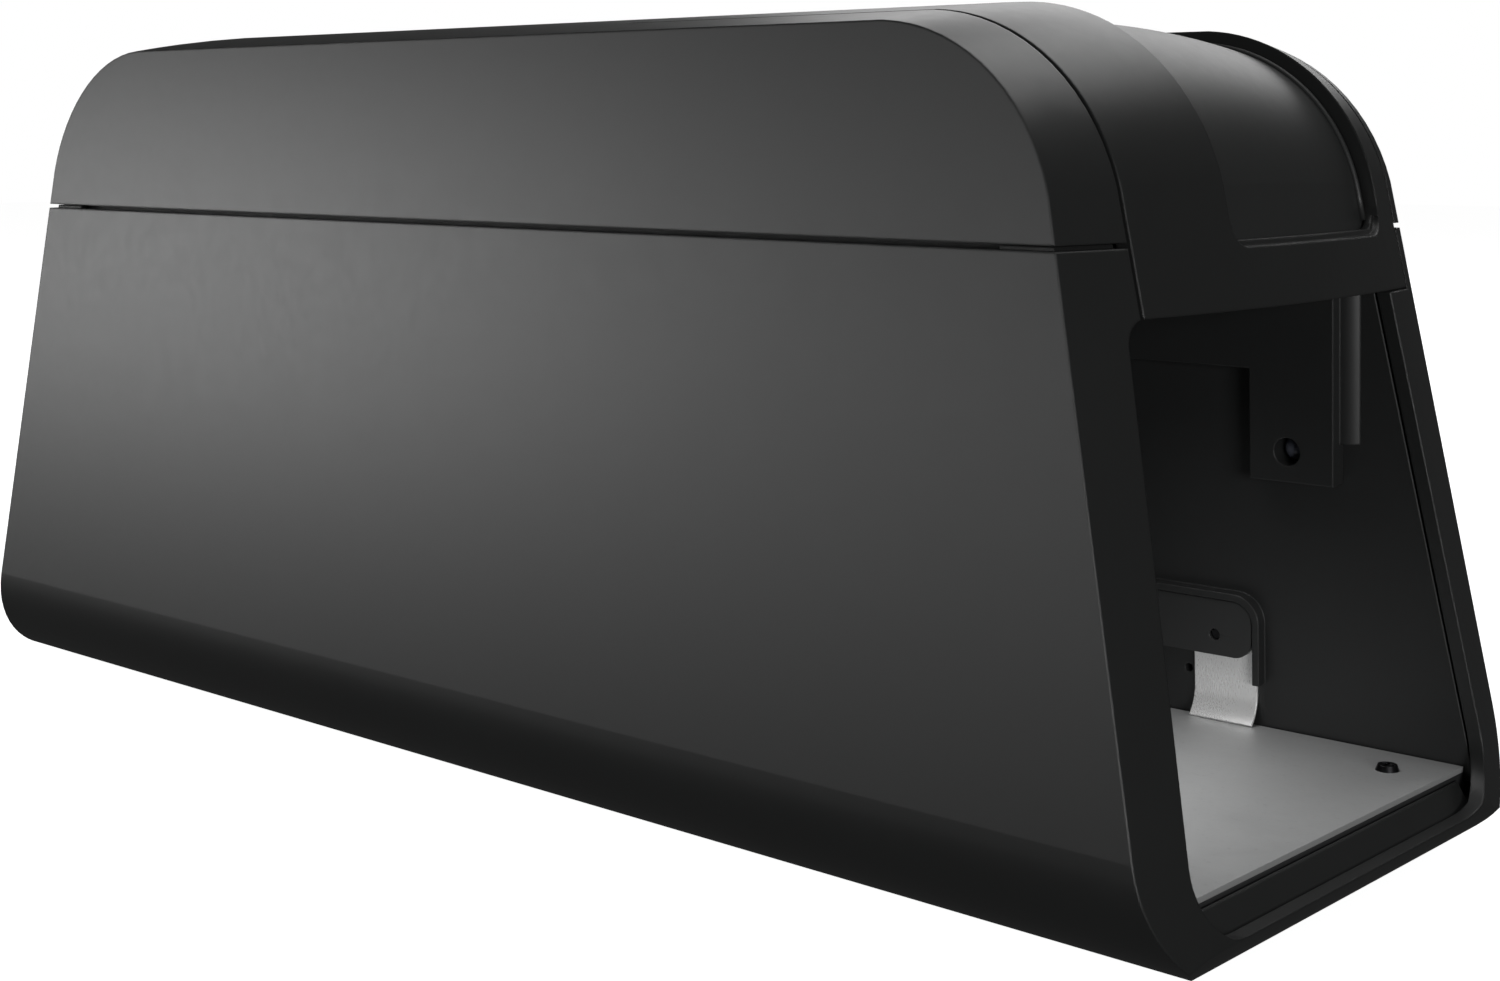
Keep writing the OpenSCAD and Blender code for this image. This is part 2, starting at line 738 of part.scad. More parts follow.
module ir_emitter() color("#3a3f4a") on_feet() ir_diode();
module ir_receiver() color("#15161a") on_feet() mirror([0, 1, 0]) ir_diode();

module battery_tray() color("#202224") on_feet() {
    half = 2 * cell_y + 1.4;
    z0 = deck_top + 0.1;
    difference() {
        translate([bay_x[0], -half, z0]) cube([bay_x[1] - bay_x[0], 2 * half, bay_h]);
        translate([bay_x[0] + bay_wall, -half + bay_wall, z0 + 1.6])
            cube([bay_x[1] - bay_x[0] - 2 * bay_wall, 2 * (half - bay_wall), bay_h]);
    }
    translate([bay_x[0] + bay_wall - 0.1, -0.6, z0 + 1.5])
        cube([bay_x[1] - bay_x[0] - 2 * bay_wall + 0.2, 1.2, 7]);
}

// One C cell lying along X, with its button at the +X end when facing is 1
module c_cell(x, y, facing) translate([x, y, cell_z]) rotate([0, 90 * facing, 0]) {
    body = cell_len - 2.2;
    translate([0, 0, -cell_len / 2]) cylinder(r = cell_d / 2, h = body);
    translate([0, 0, -cell_len / 2 + body - 0.1]) cylinder(r = 3.2, h = 2.3);
}

cells_x = [bay_x[1] - bay_wall - 2.2 - cell_len / 2, bay_x[1] - bay_wall - 2.6 - cell_len * 1.5];
module battery_1() color("#8d6b2e") on_feet() c_cell(cells_x[0], cell_y, 1);
module battery_2() color("#8d6b2e") on_feet() c_cell(cells_x[1], cell_y, 1);
module battery_3() color("#8d6b2e") on_feet() c_cell(cells_x[0], -cell_y, 1);
module battery_4() color("#8d6b2e") on_feet() c_cell(cells_x[1], -cell_y, 1);

// Conical spring wound from its large coil at z = 0
module cone_spring(r0, r1, h, turns, wire_r) {
    steps = 14;
    n = turns * steps;
    sides = 6;
    ring = function(i) let(u = i / n, a = 360 * turns * u, r = r0 + (r1 - r0) * u)
        [for (k = [0:sides - 1]) let(b = 360 * k / sides, q = r + wire_r * cos(b))
            [q * cos(a), q * sin(a), wire_r * sin(b) + h * u]];
    points = [for (i = [0:n]) each ring(i)];
    faces = concat(
        [[for (k = [0:sides - 1]) k]],
        [for (i = [0:n - 1], k = [0:sides - 1]) let(a = i * sides + k, b = i * sides + (k + 1) % sides)
            [a, a + sides, b + sides, b]],
        [[for (k = [sides - 1:-1:0]) n * sides + k]]);
    polyhedron(points, faces);
}

spring_x = bay_x[0] + bay_wall + 1.2;
module battery_springs() color("#c8cacc") on_feet() for (s = [-1, 1])
    translate([spring_x, s * cell_y, cell_z]) rotate([0, 90, 0])
        cone_spring(8, 4.5, cells_x[1] - cell_len / 2 - spring_x - 0.6, 4, 0.5);

module battery_contacts() color("#c8cacc") on_feet() {
    for (s = [-1, 1]) {
        translate([bay_x[0] + bay_wall + 0.1, s * cell_y - 9, deck_top + 3]) cube([0.5, 18, 18]);
        translate([bay_x[1] - bay_wall - 0.6, s * cell_y - 9, deck_top + 3]) cube([0.5, 18, 18]);
    }
}

module deck_screws() color("#2a2b2d") on_feet() {
    for (p = deck_bosses) translate([p.x, p.y, deck_top]) pan_screw(2.3, 1.05, 9);
    for (p = board_holes) translate([p.x, p.y, board_z + board_t]) pan_screw(2.3, 1.05, 9);
}

module cap_screws() color("#2a2b2d") on_feet()
    for (p = cap_posts) translate([p.x, p.y, deck_z]) mirror([0, 0, 1]) pan_screw(2.3, 1.05, 5);

module tray_screws() color("#2a2b2d") on_feet()
    for (p = tray_spots) translate([p.x, p.y, 1.1]) mirror([0, 0, 1]) pan_screw(2.6, 1.05, 4);

module rubber_feet() color("#2e2f30") for (p = foot_spots) translate([p.x, p.y, 0]) {
    cylinder(r1 = 6.4, r2 = 7, h = foot_h);
    translate([0, 0, foot_h - 0.01]) cylinder(r = 7, h = 1.1);
}

// A round wire swept through a list of points with rounded bends
function rounded(p, n) = [for (i = [0:len(p) - 2], t = [0:n - 1]) let(
    a = p[max(i - 1, 0)], b = p[i], c = p[i + 1], d = p[min(i + 2, len(p) - 1)], u = t / n)
    0.5 * (2 * b + (c - a) * u + (2 * a - 5 * b + 4 * c - d) * u * u
        + (3 * b - a - 3 * c + d) * u * u * u)];
function unit(v) = v / norm(v);

module wire(route, r) {
    path = concat(rounded(route, 4), [route[len(route) - 1]]);
    n = len(path);
    sides = 8;
    ring = function(i) let(
        t = unit(path[min(i + 1, n - 1)] - path[max(i - 1, 0)]),
        side = unit(cross(t, abs(t.y) < 0.9 ? [0, 1, 0] : [1, 0, 0])),
        top = cross(side, t))
        [for (k = [0:sides - 1]) let(b = 360 * k / sides) path[i] + r * (cos(b) * side + sin(b) * top)];
    points = [for (i = [0:n - 1]) each ring(i)];
    faces = concat(
        [[for (k = [sides - 1:-1:0]) k]],
        [for (i = [0:n - 2], k = [0:sides - 1]) let(a = i * sides + k, b = i * sides + (k + 1) % sides)
            [a, b, b + sides, a + sides]],
        [[for (k = [0:sides - 1]) (n - 1) * sides + k]]);
    polyhedron(points, faces);
}

battery_route = [[18.6, 16, 111], [24, 16, 111], [32, 14, 113.4], [40, 11, 114.6], [45, 9, 112.8],
    [47.5, 8, 112.5]];
function wall_rise(x) = [[x, 46, 29], [x, 47.7, 29.1], [x, 49, 31.5], [x, 48.7, 38], [x, 47.8, 50],
    [x, 46.4, 64], [x, 44.5, 82], [x, 44, 92]];
front_route = concat(wall_rise(103), [[102, 43, 98], [99, 41.5, 106], [97, 40.2, 111.5], [95.5, 37, 113.2],
    [95, 32, 112.6]]);
rear_route = concat(wall_rise(-31), [[-28, 42.5, 97], [-10, 41, 98], [20, 41, 98], [40, 41.5, 101],
    [47, 41.5, 107], [51, 40.2, 112], [54, 35.5, 112.9]]);
sensor_route = [[114.4, 47.6, 64], [114.4, 48.2, 68], [114.2, 46.2, 78], [114, 42.8, 92], [112.5, 41.4, 99],
    [110.5, 41, 106], [109.5, 40.2, 111.8], [108.5, 37, 113.4], [108, 32, 113], [108, 29, 112.5]];

module battery_leads() color("#8c1f1f") on_feet() {
    wire(battery_route, 0.8);
    wire([for (p = battery_route) [p.x, p.y - 28, p.z]], 0.8);
}

module plate_leads() color("#b02a2a") on_feet() {
    wire(front_route, 0.8);
    wire(rear_route, 0.8);
}

module sensor_leads() color("#e0e0e0") on_feet() {
    wire(sensor_route, 0.7);
    wire([for (p = sensor_route) [p.x, -p.y, p.z]], 0.7);
}

base_shell();
top_cover();
hinge_pin();
front_cap();
control_panel();
power_button();
led_lens();
status_led();
circuit_board();
tact_switch();
transformer_core();
transformer_coil();
storage_capacitor();
controller_chip();
power_transistor();
heat_sink();
electronics_deck();
near_liner();
far_liner();
back_liner();
floor_tray();
front_plate();
rear_plate();
plate_screws();
front_contact();
rear_contact();
front_contact_cover();
rear_contact_cover();
contact_screws();
near_sensor_arm();
far_sensor_arm();
ir_emitter();
ir_receiver();
battery_tray();
battery_1();
battery_2();
battery_3();
battery_4();
battery_springs();
battery_contacts();
deck_screws();
cap_screws();
tray_screws();
rubber_feet();
battery_leads();
plate_leads();
sensor_leads();
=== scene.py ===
"""An electronic rodent trap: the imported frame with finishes, soft edges, a studio and a camera."""
import json
import math

import bmesh
import bpy
from mathutils import Matrix, Vector


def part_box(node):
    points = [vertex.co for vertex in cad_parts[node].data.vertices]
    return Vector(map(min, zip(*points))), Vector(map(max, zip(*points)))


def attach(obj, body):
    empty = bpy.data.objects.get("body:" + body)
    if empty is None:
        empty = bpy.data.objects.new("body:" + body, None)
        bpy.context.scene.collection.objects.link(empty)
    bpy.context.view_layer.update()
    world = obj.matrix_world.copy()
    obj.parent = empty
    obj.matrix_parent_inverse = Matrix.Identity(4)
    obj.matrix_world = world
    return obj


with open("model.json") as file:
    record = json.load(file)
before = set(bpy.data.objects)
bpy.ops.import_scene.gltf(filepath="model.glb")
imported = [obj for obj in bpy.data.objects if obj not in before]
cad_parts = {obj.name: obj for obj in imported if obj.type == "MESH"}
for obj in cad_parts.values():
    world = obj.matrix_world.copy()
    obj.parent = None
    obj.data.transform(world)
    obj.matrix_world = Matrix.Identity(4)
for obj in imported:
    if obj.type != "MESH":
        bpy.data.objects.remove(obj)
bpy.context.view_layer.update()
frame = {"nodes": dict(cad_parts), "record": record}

NODES = frame["nodes"]
MM = 0.001


def add_object(name, data):
    thing = bpy.data.objects.new(name, data)
    bpy.context.scene.collection.objects.link(thing)
    return thing


# ---- camera ----

# Its place in metres in the frame, its turn, and its lens and sensor in millimetres
CAMERA_AT = Vector((0.294076, -0.297427, 0.117497))
CAMERA_YAW = math.radians(42.049)
CAMERA_PITCH = math.radians(9.377)
CAMERA_LENS = 52.487
SENSOR_WIDTH = 36.0
CLIP_START = 0.01


def aim_camera():
    forward = Vector((-math.sin(CAMERA_YAW) * math.cos(CAMERA_PITCH),
                      math.cos(CAMERA_YAW) * math.cos(CAMERA_PITCH),
                      -math.sin(CAMERA_PITCH)))
    right = Vector((math.cos(CAMERA_YAW), math.sin(CAMERA_YAW), 0))
    up = right.cross(forward)
    data = bpy.data.cameras.new("camera")
    data.lens = CAMERA_LENS
    data.sensor_width = SENSOR_WIDTH
    data.clip_start = CLIP_START
    camera = add_object("camera", data)
    turn = Matrix((right, up, -forward)).transposed()
    camera.matrix_world = Matrix.Translation(CAMERA_AT) @ turn.to_4x4()
    bpy.context.scene.camera = camera


# ---- finishes ----

BEVEL_SAMPLES = 4
GAP_SAMPLES = 4
NOISE_ROUGHNESS = 0.55
NOISE_RANGE = (0.3, 0.7)    # most of a noise's values lie in here
WORN_DOT = (0.995, 0.85)    # rounded normal against true normal, on open faces and on edges
GAP_OPEN = (0.25, 0.5)      # share of the sky seen deep in a gap, and just outside it


class Finish:
    """A node material built up step by step around one Principled shader."""

    def __init__(self, name, color, rough, metallic=0.0):
        self.material = bpy.data.materials.new(name)
        self.material.use_nodes = True
        self.tree = self.material.node_tree
        self.shader = self.tree.nodes["Principled BSDF"]
        self.color = color
        self.rough = rough
        self.shader.inputs["Base Color"].default_value = (*color, 1)
        self.shader.inputs["Roughness"].default_value = rough
        self.shader.inputs["Metallic"].default_value = metallic
        self.place = self.add("ShaderNodeTexCoord").outputs["Object"]
        self.normal = None

    def add(self, kind, **settings):
        node = self.tree.nodes.new(kind)
        for key, value in settings.items():
            setattr(node, key, value)
        return node

    def link(self, source, target):
        self.tree.links.new(source, target)

    # Patterns: each returns a socket

    def noise(self, size_mm, detail=3.0, stretch=None):
        """Noise whose grains are about size_mm across; stretch lengthens them along each axis."""
        node = self.add("ShaderNodeTexNoise")
        node.inputs["Scale"].default_value = 1.0 / (size_mm * MM)
        node.inputs["Detail"].default_value = detail
        node.inputs["Roughness"].default_value = NOISE_ROUGHNESS
        place = self.place
        if stretch:
            mapping = self.add("ShaderNodeMapping")
            mapping.inputs["Scale"].default_value = [1.0 / s for s in stretch]
            self.link(place, mapping.inputs["Vector"])
            place = mapping.outputs["Vector"]
        self.link(place, node.inputs["Vector"])
        return node.outputs["Fac"]

    def cells(self, size_mm, **settings):
        """Distances in a pattern of cells about size_mm across."""
        node = self.add("ShaderNodeTexVoronoi", **settings)
        node.inputs["Scale"].default_value = 1 / (size_mm * MM)
        self.link(self.place, node.inputs["Vector"])
        return node.outputs["Distance"]

    def bands(self, axis, scale):
        """Waves along an axis, 1000 / (3.2 * scale) millimetres apart."""
        node = self.add("ShaderNodeTexWave", wave_type="BANDS", bands_direction=axis)
        node.inputs["Scale"].default_value = scale
        self.link(self.place, node.inputs["Vector"])
        return node.outputs["Fac"]

    def edge_mask(self, radius_mm):
        """1 along worn edges, 0 on open faces."""
        bevel = self.add("ShaderNodeBevel", samples=BEVEL_SAMPLES)
        bevel.inputs["Radius"].default_value = radius_mm * MM
        dot = self.add("ShaderNodeVectorMath", operation="DOT_PRODUCT")
        self.link(bevel.outputs["Normal"], dot.inputs[0])
        self.link(self.add("ShaderNodeNewGeometry").outputs["Normal"], dot.inputs[1])
        return self.remap(dot.outputs["Value"], *WORN_DOT, 0.0, 1.0)

    def gap_shade_mask(self, reach_mm):
        """A mask for painted shade: 1 deep in grooves and gaps, where little sky is seen, 0 on open
        faces.
        """
        painted_gap_shade = self.add("ShaderNodeAmbientOcclusion", samples=GAP_SAMPLES)
        painted_gap_shade.inputs["Distance"].default_value = reach_mm * MM
        return self.remap(painted_gap_shade.outputs["AO"], *GAP_OPEN, 1.0, 0.0)

    def remap(self, value, low, high, to_low, to_high):
        node = self.add("ShaderNodeMapRange")
        ends = {"From Min": low, "From Max": high, "To Min": to_low, "To Max": to_high}
        for key, number in ends.items():
            node.inputs[key].default_value = number
        self.link(value, node.inputs["Value"])
        return node.outputs["Result"]

    def combine(self, how, a, b):
        node = self.add("ShaderNodeMath", operation=how)
        for socket, value in zip(node.inputs, (a, b)):
            if isinstance(value, (int, float)):
                socket.default_value = value
            else:
                self.link(value, socket)
        return node.outputs[0]

    # Effects: each changes the finish

    def soft_edges(self, radius_mm):
        """Rounds sharp edges in the shading, and keeps that normal for the bumps on top."""
        node = self.add("ShaderNodeBevel", samples=BEVEL_SAMPLES)
        node.inputs["Radius"].default_value = radius_mm * MM
        self.normal = node.outputs["Normal"]

    def bump(self, height, strength, distance_mm):
        node = self.add("ShaderNodeBump")
        node.inputs["Strength"].default_value = strength
        node.inputs["Distance"].default_value = distance_mm * MM
        self.link(height, node.inputs["Height"])
        if self.normal:
            self.link(self.normal, node.inputs["Normal"])
        self.normal = node.outputs["Normal"]

    def tint(self, mask, color, amount):
        """Mixes another colour in where mask is 1."""
        mix = self.add("ShaderNodeMix", data_type="RGBA")
        self.link(self.combine("MULTIPLY", mask, amount), mix.inputs[0])
        base = self.shader.inputs["Base Color"]
        if base.links:
            self.link(base.links[0].from_socket, mix.inputs[6])
        else:
            mix.inputs[6].default_value = (*self.color, 1)
        mix.inputs[7].default_value = (*color, 1)
        self.link(mix.outputs[2], base)

    def vary_rough(self, value, spread, at_least=None):
        """Lets the roughness wander by spread to either side, but not below another socket's value."""
        rough = self.remap(value, *NOISE_RANGE, self.rough - spread, self.rough + spread)
        if at_least:
            rough = self.combine("MAXIMUM", rough, at_least)
        self.link(rough, self.shader.inputs["Roughness"])

    def done(self):
        if self.normal:
            self.link(self.normal, self.shader.inputs["Normal"])
        return self.material


def scaled(color, factor):
    return [min(1, channel * factor) for channel in color]


def moulded(name, color, rough, grain_mm=0.35, bump=0.25, edge_mm=0.5, gap_shade_mm=0):
    """Injection-moulded plastic: spark-eroded grain, faint mottling, lighter worn edges, and painted
    shade that darkens gaps.
    """
    f = Finish(name, color, rough)
    f.soft_edges(edge_mm)
    f.tint(f.remap(f.noise(18, detail=4), 0.35, 0.7, 0, 1), scaled(color, 1.12), 0.6)
    f.tint(f.edge_mask(edge_mm), scaled(color, 1.6), 0.3)
    # Painted shade: deep gaps and grooves are tinted nearly black where little sky reaches them, and
    # their roughness is raised there too
    painted_gap_shade = f.gap_shade_mask(gap_shade_mm) if gap_shade_mm else None
    if painted_gap_shade:
        f.tint(painted_gap_shade, (0, 0, 0), 0.95)
    f.vary_rough(f.noise(2.5, detail=5), 0.012, at_least=painted_gap_shade)
    f.bump(f.noise(grain_mm, detail=2), bump, 0.02)
    return f.done()


def sheet_metal(name, color, rough, along, stain=0.25, metallic=1.0):
    """Rolled sheet: fine lines along one axis, cloudy stains and a few pits."""
    f = Finish(name, color, rough, metallic=metallic)
    f.soft_edges(0.25)
    cloud = f.noise(14, detail=6)
    f.tint(f.remap(cloud, 0.4, 0.7, 0, 1), scaled(color, 0.72), stain)
    f.tint(f.remap(f.noise(1.2), 0.6, 0.75, 0, 1), scaled(color, 0.6), stain)
    lines = f.noise(0.12, detail=2, stretch=along)
    worn = f.combine("ADD", f.combine("MULTIPLY", lines, 0.6), f.combine("MULTIPLY", cloud, 0.4))
    f.vary_rough(worn, 0.09)
    f.bump(lines, 0.25, 0.01)
    return f.done()


def small_metal(name, color, rough):
    """Turned or plated metal with darker spots."""
    f = Finish(name, color, rough, metallic=1.0)
    f.soft_edges(0.12)
    f.vary_rough(f.noise(0.9, detail=4), 0.08)
    f.tint(f.remap(f.noise(0.7), 0.55, 0.75, 0, 1), scaled(color, 0.6), 0.5)
    f.bump(f.noise(0.15), 0.15, 0.01)
    return f.done()


def clear(name, color, rough, transmission):
    """See-through plastic, slightly uneven."""
    f = Finish(name, color, rough)
    f.shader.inputs["Transmission Weight"].default_value = transmission
    f.shader.inputs["IOR"].default_value = 1.49
    f.soft_edges(0.15)
    f.vary_rough(f.noise(1.5, detail=4), 0.05)
    f.bump(f.noise(0.4), 0.08, 0.01)
    return f.done()


def circuit():
    """Solder mask over copper: broad pours, fine tracks and tinned pads showing through."""
    f = Finish("board", (0.012, 0.075, 0.03), 0.32)
    f.soft_edges(0.15)
    tracks = f.remap(f.cells(5, feature="DISTANCE_TO_EDGE"), 0.03, 0.05, 1, 0)
    f.tint(tracks, (0.03, 0.17, 0.06), 0.9)
    pads = f.remap(f.cells(3.2), 0.1, 0.14, 1, 0)
    f.tint(pads, (0.55, 0.56, 0.55), 0.9)
    f.vary_rough(f.noise(2.5), 0.05)
    f.bump(tracks, 0.3, 0.03)
    return f.done()


CELL_BANDS = 6.3                     # one band to each 50 mm cell
COIL_BANDS = 1 / (1.2 * MM) / 3.2    # wire 1.2 mm across


def wrapped_cell():
    """A plain film wrap: dark with a copper-coloured band towards the button end."""
    f = Finish("cell", (0.028, 0.03, 0.034), 0.28, metallic=0.55)
    f.soft_edges(0.3)
    f.tint(f.remap(f.bands("X", CELL_BANDS), 0.62, 0.64, 0, 1), (0.42, 0.2, 0.07), 1.0)
    f.vary_rough(f.noise(5, detail=4), 0.06)
    f.bump(f.noise(3.5, detail=2), 0.12, 0.05)
    return f.done()


def winding():
    """Enamelled copper wire, turn upon turn."""
    f = Finish("winding", (0.5, 0.31, 0.05), 0.35)
    f.soft_edges(0.3)
    turns = f.bands("Z", COIL_BANDS)
    f.tint(turns, (0.28, 0.1, 0.02), 0.6)
    f.vary_rough(f.noise(2), 0.06)
    f.bump(turns, 0.5, 0.1)
    return f.done()


BLACK = (0.0125, 0.0131, 0.0129)
PANEL_BLACK = (0.016, 0.0168, 0.0165)
PLATE_GREY = (0.5, 0.505, 0.505)
SPRING_GREY = (0.86, 0.86, 0.855)


def make_finishes():
    """One finish for each material slot of the record."""
    return {
        # The case gets painted shade in its gaps, reaching 4 mm
        "case_plastic": moulded("case_plastic", BLACK, 0.4, grain_mm=0.4, bump=0.12, gap_shade_mm=4),
        "panel_plastic": moulded("panel_plastic", PANEL_BLACK, 0.44, bump=0.05),
        "button_plastic": moulded("button_plastic", (0.03, 0.031, 0.031), 0.38),
        "clear_plastic": clear("clear_plastic", (0.85, 0.92, 0.88), 0.2, 0.75),
        "led_green": clear("led_green", (0.2, 0.65, 0.25), 0.15, 0.5),
        "board": circuit(),
        "dark_plastic": moulded("dark_plastic", (0.02, 0.0205, 0.0205), 0.4, edge_mm=0.3),
        "ferrite": moulded("ferrite", (0.03, 0.03, 0.032), 0.6, grain_mm=0.5, bump=0.5, edge_mm=0.3),
        "winding": winding(),
        "capacitor_sleeve": moulded("capacitor_sleeve", (0.015, 0.035, 0.13), 0.25, bump=0.05),
        "chip_plastic": moulded("chip_plastic", (0.014, 0.014, 0.015), 0.5, edge_mm=0.15),
        "heat_sink": sheet_metal("heat_sink", (0.7, 0.71, 0.72), 0.35, (1, 1, 12)),
        "inner_plastic": moulded("inner_plastic", (0.02, 0.0205, 0.021), 0.5, edge_mm=0.4),
        "liner_plastic": moulded("liner_plastic", (0.012, 0.0125, 0.0125), 0.5, edge_mm=0.4),
        "plate_steel": sheet_metal("plate_steel", PLATE_GREY, 0.5, (14, 1, 1), metallic=0.6),
        "spring_steel": sheet_metal("spring_steel", SPRING_GREY, 0.3, (1, 1, 12), stain=0.05,
                                    metallic=0.45),
        "steel": small_metal("steel", (0.6, 0.6, 0.6), 0.25),
        "black_screw": small_metal("black_screw", (0.035, 0.035, 0.037), 0.38),
        "emitter_lens": clear("emitter_lens", (0.14, 0.15, 0.19), 0.12, 0.3),
        "receiver_lens": clear("receiver_lens", (0.02, 0.02, 0.025), 0.1, 0.1),
        "cell": wrapped_cell(),
        "foot_rubber": moulded("foot_rubber", (0.02, 0.02, 0.02), 0.75, grain_mm=0.8, bump=0.4,
                               edge_mm=0.4),
        "lead_red": moulded("lead_red", (0.32, 0.015, 0.012), 0.4, bump=0.08, edge_mm=0.1),
        "lead_white": moulded("lead_white", (0.6, 0.6, 0.57), 0.4, bump=0.08, edge_mm=0.1),
    }


def dress_nodes(finishes):
    slots = {row["node"]: row["material_slot"] for row in frame["record"]["subparts"]}
    for name, node in NODES.items():
        node.data.materials.clear()
        node.data.materials.append(finishes[slots[name]])


# ---- edges and wires of the CAD nodes: modifiers only, so their own meshes stay as they are ----

FILLETED = ("base_shell", "top_cover", "front_cap", "far_sensor_arm", "near_sensor_arm",
            "front_contact_cover", "rear_contact_cover")
WIRES = ("battery_leads", "plate_leads", "sensor_leads", "battery_springs")
FILLET_MM = 0.2
FILLET_SEGMENTS = 2
FILLET_ABOVE = math.radians(30)
FILLET_WELD_MM = 0.02
WIRE_WELD_MM = 0.01
WIRE_LEVELS = 2


def add_weld(node, distance_mm):
    weld = node.modifiers.new("weld", "WELD")
    weld.merge_threshold = distance_mm * MM


def add_smoothing(node, keep_sharp):
    smooth = node.modifiers.new("smooth", "WEIGHTED_NORMAL")
    smooth.keep_sharp = keep_sharp


def round_edges(node):
    """Fillets the sharp edges of a moulding."""
    add_weld(node, FILLET_WELD_MM)
    bevel = node.modifiers.new("fillet", "BEVEL")
    bevel.width = FILLET_MM * MM
    bevel.segments = FILLET_SEGMENTS
    bevel.limit_method = "ANGLE"
    bevel.angle_limit = FILLET_ABOVE
    bevel.use_clamp_overlap = True
    bevel.harden_normals = False
    bevel.miter_outer = "MITER_ARC"
    add_smoothing(node, keep_sharp=True)


def smooth_tube(node):
    """Rounds a wire or spring that the CAD model holds as flat facets."""
    add_weld(node, WIRE_WELD_MM)
    rounder = node.modifiers.new("rounder", "SUBSURF")
    rounder.levels = rounder.render_levels = WIRE_LEVELS
    add_smoothing(node, keep_sharp=False)


# ---- pieces, sized in millimetres ----

# The case's crown: its radius and its top above the feet
CROWN_R = 280
CROWN_TOP = 137.2
# The crown's corner: centre in X and Z, radius, and the slope of the end below it
CORNER = (93.3, 99.2)
CORNER_R = 38
CORNER_STEPS = 40
END_SLOPE = math.radians(13.6)
# The bead: in from the panel's far edge, under the crown, where it starts and stops
BEAD_IN = 2.6
BEAD_SUNK = 2.8
BEAD_FROM_X = 50
BEAD_TO_Z = 102.6
# Its section: half its width, its height, and its foot inside the panel
BEAD_HALF = 0.5
BEAD_HIGH = 0.75
BEAD_FOOT = -0.3
BEAD_STEPS = 8


def loft(name, tubes, finish, smooth):
    """One mesh of closed tubes, each skinned over its rings of points."""
    build = bmesh.new()
    for tube in tubes:
        rings = [[build.verts.new(point) for point in ring] for ring in tube]
        for low, high in zip(rings, rings[1:]):
            for k in range(len(low)):
                after = (k + 1) % len(low)
                build.faces.new((low[k], low[after], high[after], high[k]))
        build.faces.new(rings[0])
        build.faces.new(reversed(rings[-1]))
    bmesh.ops.recalc_face_normals(build, faces=build.faces)
    for face in build.faces:
        face.smooth = smooth and len(face.verts) == 4
    mesh = bpy.data.meshes.new(name)
    build.to_mesh(mesh)
    build.free()
    mesh.materials.append(finish)
    return add_object(name, mesh)


def over_corner(y, sunk, x_from, z_to):
    """Points along the front corner at one distance from the middle, some way under its surface."""
    fall = math.sqrt((CROWN_R - sunk) ** 2 - y * y) - CROWN_R
    radius = CORNER_R + fall
    points = [(x_from, y, CROWN_TOP + fall)]
    for i in range(CORNER_STEPS + 1):
        turn = math.pi / 2 + (END_SLOPE - math.pi / 2) * i / CORNER_STEPS
        x = CORNER[0] + radius * math.cos(turn)
        z = CORNER[1] + radius * math.sin(turn)
        points.append((x, y, z))
    points.append((x + (z - z_to) * math.tan(END_SLOPE), y, z_to))
    return [Vector(p) * MM for p in points]


def bead_section():
    """A rounded ridge, in pairs across the bead and out from the panel."""
    section = [(-BEAD_HALF, BEAD_FOOT)]
    for i in range(BEAD_STEPS + 1):
        turn = math.pi * i / BEAD_STEPS
        out = BEAD_HIGH - BEAD_HALF + BEAD_HALF * math.sin(turn)
        section.append((-BEAD_HALF * math.cos(turn), out))
    section.append((BEAD_HALF, BEAD_FOOT))
    return section


def sweep(path, section):
    """Rings of points that carry a section along a path in the XZ plane, out from its middle."""
    rings = []
    for i, point in enumerate(path):
        along = (path[min(i + 1, len(path) - 1)] - path[max(i - 1, 0)]).normalized()
        out = Vector((-along.z, 0, along.x))
        if out.dot(Vector((1, 0, 1))) < 0:
            out.negate()
        rings.append([point + Vector((0, a * MM, 0)) + out * b * MM for a, b in section])
    return rings


def panel_bead(finish):
    """The raised line along the panel's far edge."""
    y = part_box("control_panel")[1][1] / MM - BEAD_IN
    path = over_corner(y, BEAD_SUNK, BEAD_FROM_X, BEAD_TO_Z)
    piece = loft("panel_bead", [sweep(path, bead_section())], finish, smooth=True)
    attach(piece, "case")


# The seam: the base's rim above the feet, and how far its side walls lean
SEAM_Z = 101.2
SIDE_LEAN = math.radians(4.06)
# The ridges' outer line: where it starts along the sides, its distance from the middle there, its place
# at the middle of the ends, and where it has left the corner
RIDGE_FROM_X = 117.0
RIDGE_HALF = 49.8
RIDGE_END = 130.5
RIDGE_TURN_Y = 44.0
# Their section: width, and the foot and the top from the rim
RIDGE_W = 0.9
RIDGE_FOOT = -0.1
RIDGE_TOP = 0.62
RIDGE_ROUND = 0.1
# The corners: end, side, and how near the middle the ridge comes across the end. None keeps it to the
# side wall.
RIDGE_CORNERS = ((-1, -1, 31.5), (-1, 1, 31.5), (1, -1, 38.0), (1, 1, None))


def ridge_x(y):
    return RIDGE_END - (CROWN_R - math.sqrt(CROWN_R ** 2 - y * y)) / math.cos(END_SLOPE)


